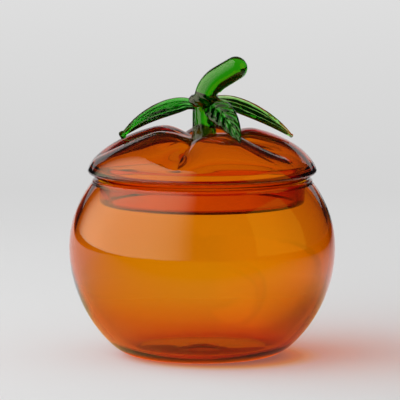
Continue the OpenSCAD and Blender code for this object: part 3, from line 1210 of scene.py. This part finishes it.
@dataclass(frozen=True)
class TablePaper:
    """Pale matt paper of the table. Places in m: X to the right, Y away from the front.

    It takes the light near the jar and glows with a set tone further back, which dips a little about
    half a metre back: a painted falloff of the light. Its tones near the foot are a painted caustic,
    amber light that the real jar gathers there. What the glass shows of it, straight through (through)
    or mirrored (thrown back), is painted too: an even warm glow, and painted shade that fades it darker
    at the right, because the studio of the photograph is darker at the right than this table is, a
    painted shadow of the jar, and painted amber glows under and round the foot.
    """

    name: str = "studio_paper_matt"
    white: float = 0.78
    foot_middle: tuple[float, float] = (0.0, 0.0)
    # Painted caustic: amber tones multiplied into the paper round the foot, for light that the jar
    # gathers.
    painted_caustic_middle: tuple[float, float] = (0.008, -0.004)
    painted_caustic_ring: Fade = Fade(0.020, 0.048)
    painted_caustic_tones: Tones = ((0.0, "#c4aa3f"), (1.0, "#ffffff"), (0.25, "#f6cb38"), (0.32, "#f9d761"),
                         (0.40, "#ffedb3"), (0.52, "#fffcea"), (0.64, "#ffffff"))
    # Painted tint of the paper where the glass shows it: warmer, with less blue.
    painted_seen_tint: str = "#ffce61"
    # Set tone that the paper glows with further back; it dips a little about half a metre back, a
    # painted falloff of the light.
    depth_run: Fade = Fade(0.0, 1.6)
    depth_tones: Tones = ((0.0, "#dfdfdf"), (1.0, "#dedede"), (0.32, "#d4d4d4"))
    set_tone_share: Fade = Fade(0.12, 0.4, 0.1, 1.0)
    # Painted reflection: away from the foot the glass shows the paper as an even glow, yellow with no
    # blue at the front.
    painted_glass_view_run: Fade = Fade(-0.15, 0.1)
    painted_glass_view_tones: Tones = ((0.0, "#dfdf20"), (1.0, "#dfdfdf"))
    clear_of_foot: Fade = Fade(0.07, 0.14)
    # Painted shade on the paper as the glass shows it: a painted shadow of the jar at the right of the
    # foot, a darker step further back at the right, and darker towards the right side. thrown_across
    # darkens the mirrored paper towards the right.
    shade_across: Fade = Fade(0.020, 0.050, 0.0, 0.5)
    shade_along: Fade = Fade(0.18, 0.08)
    edge_across: Fade = Fade(0.040, 0.070, 0.0, 0.2)
    edge_along: Fade = Fade(0.15, 0.30)
    side_across: Fade = Fade(0.070, 0.40, 0.0, 0.4)
    thrown_across: Fade = Fade(0.10, 0.40)
    # Painted light and shade under the foot, seen through the glass: a dim amber-brown glow in a ring
    # under the jar.
    painted_under_tone: str = "#90553c"
    under_rise: Fade = Fade(0.004, 0.010)
    under_fall: Fade = Fade(0.0250, 0.0265, 0.8, 0.0)
    # Painted glow in the glass's reflections next to the foot: orange light that the jar gathers there.
    painted_gathered_tone: str = "#ff6921"
    painted_gathered_light: float = 1.2
    painted_gathered_fall: Fade = Fade(0.0290, 0.0312, 1.0, 0.0)

    def lit(self, tree: NodeTree, from_painted_caustic: Socket, glassy: Socket) -> Socket:
        """Paper that takes the light, with a painted caustic round the foot: amber tones in its colour,
        and a painted warm tint where the glass shows it.

        Args:
            tree: Node tree that takes it.
            from_painted_caustic: Distance from the glow's middle.
            glassy: 1 for rays that come by way of the glass.

        Returns:
            The shader's socket.
        """
        stops = [(share, [self.white * part for part in linear(tone)])
                 for share, tone in self.painted_caustic_tones]
        # Painted caustic: the paper's colour turns amber near the foot.
        foot = colour_ramp(tree, self.painted_caustic_ring.over(tree, from_painted_caustic), stops)
        # In the glass the paper takes a painted warm tint.
        colour = mixed(tree, glassy, foot, linear(self.painted_seen_tint), "MULTIPLY")
        return add_node(tree, "ShaderNodeBsdfDiffuse", {}, {"Color": colour}).outputs[0]

    def painted_shade(self, tree: NodeTree, across: Socket, along: Socket) -> Socket:
        """Painted shade on the paper as seen straight through the glass: a painted shadow of the jar at
        the right of the foot, a darker step further back at the right, and darker towards the right
        side.

        Args:
            tree: Node tree that takes it.
            across: X of the point.
            along: Y of the point.

        Returns:
            The share of black.
        """
        shade = calculate(tree, "MULTIPLY", self.shade_across.over(tree, across),
                          self.shade_along.over(tree, along))
        edge = calculate(tree, "MULTIPLY", self.edge_across.over(tree, across),
                         self.edge_along.over(tree, along))
        patches = calculate(tree, "ADD", shade, edge)
        return calculate(tree, "ADD", patches, self.side_across.over(tree, across))

    def run_of(self, tree: NodeTree, run: Fade, along: Socket, tones: Tones) -> Socket:
        """Glow whose tone changes along Y: rows of a share of the run and an sRGB colour."""
        return glow(tree, colour_ramp(tree, run.over(tree, along),
                                      [(share, linear(tone)) for share, tone in tones]))

    def material(self) -> Material:
        """Builds the nodes: the lit paper, the set tone further back, and one layer over another for
        what
        the glass shows: painted reflection, painted shade and painted glows.

        Returns:
            The material.
        """
        material = bpy.data.materials.new(self.name)
        tree = fresh_tree(material)
        place = add_node(tree, "ShaderNodeTexCoord").outputs["Object"]
        axes = add_node(tree, "ShaderNodeSeparateXYZ", {}, {"Vector": place}).outputs
        across, along = axes["X"], axes["Y"]
        rays = add_node(tree, "ShaderNodeLightPath").outputs
        glassy, through = rays["Is Glossy Ray"], rays["Is Transmission Ray"]
        thrown_back = calculate(tree, "SUBTRACT", glassy, through)
        from_painted_caustic = distance(tree, place, self.painted_caustic_middle)
        from_foot = distance(tree, place, self.foot_middle)
        # Black glow, for painted shade.
        black = glow(tree, linear("#000000"))
        under = calculate(tree, "MULTIPLY", self.under_rise.over(tree, from_foot),
                          self.under_fall.over(tree, from_foot))
        layers = [
            # The paper glows with the set tone further back, with a painted falloff of the light in it.
            (self.set_tone_share.over(tree, along), None,
             self.run_of(tree, self.depth_run, along, self.depth_tones)),
            # Painted reflection: an even glow in place of the paper where the glass shows it.
            (self.clear_of_foot.over(tree, from_painted_caustic), glassy,
             self.run_of(tree, self.painted_glass_view_run, along, self.painted_glass_view_tones)),
            # Painted shade through the glass: a painted shadow of the jar, and darker to the right.
            (self.painted_shade(tree, across, along), through, black),
            # Painted shade in the glass's reflections: darker towards the right.
            (self.thrown_across.over(tree, across), thrown_back, black),
            # Painted glow under the foot, seen through the glass.
            (under, through, glow(tree, linear(self.painted_under_tone))),
            # Painted orange glow in the glass's reflections round the foot's edge.
            (self.painted_gathered_fall.over(tree, from_foot), thrown_back,
             glow(tree, linear(self.painted_gathered_tone), self.painted_gathered_light)),
        ]
        paper = self.lit(tree, from_painted_caustic, glassy)
        for share, kind, layer in layers:
            if kind is not None:
                share = calculate(tree, "MULTIPLY", kind, share)
            paper = blend(tree, share, paper, layer)
        add_node(tree, "ShaderNodeOutputMaterial", {}, {"Surface": paper})
        return material


@dataclass(frozen=True)
class SoftFront:
    """Front of the large soft light: brightest in the middle, fading to both ends. Places in m.

    Levels are rows of a share of the run along Y and a brightness. The glass shows the light with
    levels and a warmer tone of its own.
    """

    name: str = "soft_light_front"
    strength: float = 2.7
    through_share: float = 0.5
    lit_run: Fade = Fade(-1.5, 0.0)
    lit_levels: Levels = ((0.0, 0.10), (1.0, 1.0), (0.33, 0.50), (0.65, 0.88))
    seen_run: Fade = Fade(-1.5, 2.0)
    seen_levels: Levels = ((0.0, 0.0), (1.0, 0.0), (0.057, 0.03), (0.121, 0.20), (0.2, 0.58),
                           (0.286, 0.87), (0.429, 1.0), (0.486, 1.0), (0.543, 0.85), (0.62, 0.66),
                           (0.759, 0.28), (0.914, 0.03))
    seen_tone: str = "#ffffda"

    def graded(self, tree: NodeTree, run: Fade, along: Socket, levels: Levels, tone: str) -> Socket:
        """One sRGB tone at several levels along Y: rows of a share of the run and a level."""
        return colour_ramp(tree, run.over(tree, along),
                           [(share, [level * part for part in linear(tone)])
                            for share, level in levels])

    def material(self) -> Material:
        """Builds the nodes. Rays straight through the glass see the light at a share of its strength.

        Returns:
            The material.
        """
        material = bpy.data.materials.new(self.name)
        tree = fresh_tree(material)
        place = add_node(tree, "ShaderNodeTexCoord").outputs["Object"]
        along = add_node(tree, "ShaderNodeSeparateXYZ", {}, {"Vector": place}).outputs["Y"]
        rays = add_node(tree, "ShaderNodeLightPath").outputs
        lit = self.graded(tree, self.lit_run, along, self.lit_levels, "#ffffff")
        seen = self.graded(tree, self.seen_run, along, self.seen_levels, self.seen_tone)
        power = Fade(0.0, 1.0, self.strength, self.strength * self.through_share)
        shine = glow(tree, mixed(tree, rays["Is Glossy Ray"], lit, seen),
                     power.over(tree, rays["Is Transmission Ray"]))
        add_node(tree, "ShaderNodeOutputMaterial", {}, {"Surface": shine})
        return material


@dataclass
class Studio:
    """Pale table and backdrop, a large soft light at the left, faint cards, and the camera. In m."""

    CARD_HIDDEN = ("camera", "diffuse", "transmission")

    paper: TablePaper = TablePaper()
    soft_front: SoftFront = SoftFront()
    table_front: float = 0.48
    table_left: float = 0.62
    table_far: float = 3.0
    foot_gap: float = 0.00005
    backdrop_half: float = 0.9
    backdrop_deg: float = 8.5
    backdrop_light: float = 0.70
    soft_first: Place = (-0.1, -1.5, -0.06)
    soft_last: Place = (-1.57, 1.93, 0.12)
    soft_top: float = 2.9
    fill_half: float = 0.9
    fill_h: float = 1.3
    fill_light: float = 0.5
    right_first: Place = (0.73, -0.68, 0.02)
    right_last: Place = (0.99, 0.16, 0.02)
    right_top: float = 0.9
    right_light: float = 0.9
    right_tone: str = "#ffd93f"
    far_half: float = 1.9
    far_top: float = 1.5
    far_light: float = 0.55
    room_dark: float = 0.02
    room_light: float = 0.3
    room_tone: str = "#dedede"
    elevation_deg: float = 7.0
    distance: float = 2.0
    photo_px: float = 400.0
    px_per_m: float = 2661.7
    sensor_mm: float = 36.0
    aim_x: float = -0.000827
    aim_h: float = 0.050
    aim_up: float = 0.008416
    near_clip: float = 0.1
    far_clip: float = 20.0

    def sheet(self, name: str, corners: Sequence[Sequence[float]], material: Material,
              *hidden: str) -> None:
        """Adds one flat four-cornered piece of the stage.

        Args:
            name: Its name.
            corners: Four corners in order.
            material: Its material.
            *hidden: Kinds of ray that miss it, as in the names of its visibility settings.
        """
        mesh = bpy.data.meshes.new(name)
        mesh.from_pydata([tuple(corner) for corner in corners], [], [(0, 1, 2, 3)])
        mesh.materials.append(material)
        obj = bpy.data.objects.new(name, mesh)
        bpy.context.scene.collection.objects.link(obj)
        for kind in hidden:
            setattr(obj, f"visible_{kind}", False)

    def level(self, name: str, x: Sequence[float], y: Sequence[float], h: float, material: Material,
              *hidden: str) -> None:
        """Adds a level sheet between two X and two Y at a height."""
        corners = [(x[0], y[0], h), (x[1], y[0], h), (x[1], y[1], h), (x[0], y[1], h)]
        self.sheet(name, corners, material, *hidden)

    def panel(self, name: str, first: Place, last: Place, top: float, front: Material,
              *hidden: str) -> None:
        """Adds an upright sheet from two lower corners up to a height."""
        self.sheet(name, [first, last, (*last[:2], top), (*first[:2], top)], front, *hidden)

    def table(self) -> None:
        """The table in three pieces: only the middle one shows in the glass's reflections."""
        paper = self.paper.material()
        front, left, far = -self.table_front, -self.table_left, self.table_far
        low = -self.foot_gap
        self.level("table_top", (left, far), (front, far), low, paper)
        self.level("table_apron", (-far, far), (-far, front), low, paper, "glossy")
        self.level("table_wing", (-far, left), (front, far), low, paper, "glossy", "transmission")

    def backdrop(self) -> None:
        """Wall behind the table, and over it a card that only the glass's reflections show.

        The wall's height is its distance times the tangent of the angle that it fills.
        """
        far = self.table_far
        top = far * math.tan(math.radians(self.backdrop_deg))
        self.panel("backdrop", (-self.backdrop_half, far, 0), (self.backdrop_half, far, 0), top,
                   lamp_front("backdrop_paper", self.backdrop_light), "diffuse", "shadow")
        self.panel("card_far", (-self.far_half, far, top), (self.far_half, far, top), self.far_top,
                   lamp_front("card_far_front", self.far_light), *self.CARD_HIDDEN)

    def lights(self) -> None:
        """Soft light at the left, faint fill above, and a card at the right for reflections only."""
        self.panel("soft_light_left", self.soft_first, self.soft_last, self.soft_top,
                   self.soft_front.material(), "camera")
        self.panel("card_right", self.right_first, self.right_last, self.right_top,
                   lamp_front("card_right_front", self.right_light, self.right_tone),
                   *self.CARD_HIDDEN)
        reach = (-self.fill_half, self.fill_half)
        self.level("fill_above", reach, reach, self.fill_h,
                   lamp_front("fill_above_front", self.fill_light),
                   "camera", "glossy", "transmission")

    def room(self) -> None:
        """World: pale to the camera, a faint light on matt things, nearly dark in the glass."""
        world = bpy.data.worlds.new("studio")
        bpy.context.scene.world = world
        tree = fresh_tree(world)
        rays = add_node(tree, "ShaderNodeLightPath").outputs
        dark, haze, pale = [
            add_node(tree, "ShaderNodeBackground", {"Color": linear(tone), "Strength": light}).outputs[0]
            for tone, light in (("#ffffff", self.room_dark), ("#ffffff", self.room_light),
                                (self.room_tone, 1.0))]
        room = blend(tree, rays["Is Diffuse Ray"], dark, haze)
        add_node(tree, "ShaderNodeOutputWorld", {},
                 {"Surface": blend(tree, rays["Is Camera Ray"], room, pale)})

    def camera(self) -> None:
        """Camera at the photograph's angle: long lens, a few degrees above the table.

        The lens is the sensor's width times the distance times the photograph's pixels in a metre,
        over its pixels across.
        """
        tilt = math.radians(self.elevation_deg)
        aim = Vector((self.aim_x, self.aim_up * math.sin(tilt),
                      self.aim_h + self.aim_up * math.cos(tilt)))
        back = Vector((0.0, -math.cos(tilt), math.sin(tilt)))
        data = bpy.data.cameras.new("camera")
        data.sensor_width = self.sensor_mm
        data.lens = self.sensor_mm * self.distance * self.px_per_m / self.photo_px
        data.clip_start, data.clip_end = self.near_clip, self.far_clip
        cam = bpy.data.objects.new("camera", data)
        cam.location = aim + back * self.distance
        cam.rotation_mode = "QUATERNION"
        cam.rotation_quaternion = (-back).to_track_quat("-Z", "Y")
        bpy.context.scene.collection.objects.link(cam)
        bpy.context.scene.camera = cam

    def build(self) -> None:
        """Makes the whole studio."""
        self.table()
        self.backdrop()
        self.lights()
        self.room()
        self.camera()


def render_settings() -> None:
    """Plain view, and enough bounces for light to pass four walls of glass and come back."""
    scene = bpy.context.scene
    scene.view_settings.view_transform = "Standard"
    scene.cycles.max_bounces = GLASS_BOUNCES
    scene.cycles.transmission_bounces = GLASS_BOUNCES
    scene.cycles.transparent_max_bounces = GLASS_BOUNCES
    scene.cycles.glossy_bounces = MIRROR_BOUNCES
    scene.cycles.caustics_refractive = False
    scene.cycles.caustics_reflective = False


def main() -> None:
    """Builds the jar, its lid, the stem, the knot and the leaves, and then the studio."""
    logging.basicConfig(level=logging.INFO, format="%(message)s")
    jar = JarBody()
    lid = Lid(jar)
    stem = Stem(lid)
    left = Leaf("leaf_left", stem, Pressing.LENGTHWISE, azimuth=-98.0, length=29.2, set_down=1.3,
                first_droop=8.0, tip_gap=1.9, roll=30.0, bead_d=2.4, end_share=0.3)
    front = Leaf("leaf_front", stem, Pressing.HERRINGBONE, azimuth=25.0, length=28.0, set_down=1.3,
                 first_droop=8.0, tip_gap=2.0, roll=-32.0, bead_d=1.0)
    right = Leaf("leaf_right", stem, Pressing.LENGTHWISE, azimuth=94.0, length=30.6, set_down=0.0,
                 first_droop=14.0, tip_gap=2.0, roll=-26.0, bead_d=1.2)
    dressed = [jar.build(AMBER), lid.build(LID_AMBER), stem.build(GREEN), Knot(stem).build(KNOT_GREEN),
               left.build(LEAF_GREEN), front.build(LEAF_GREEN), right.build(GREEN)]
    for piece in dressed:
        LOG.info("%s is dressed in %s", piece.name, piece.data.materials[0].name)
    Studio().build()
    render_settings()


if __name__ == "__main__":
    main()
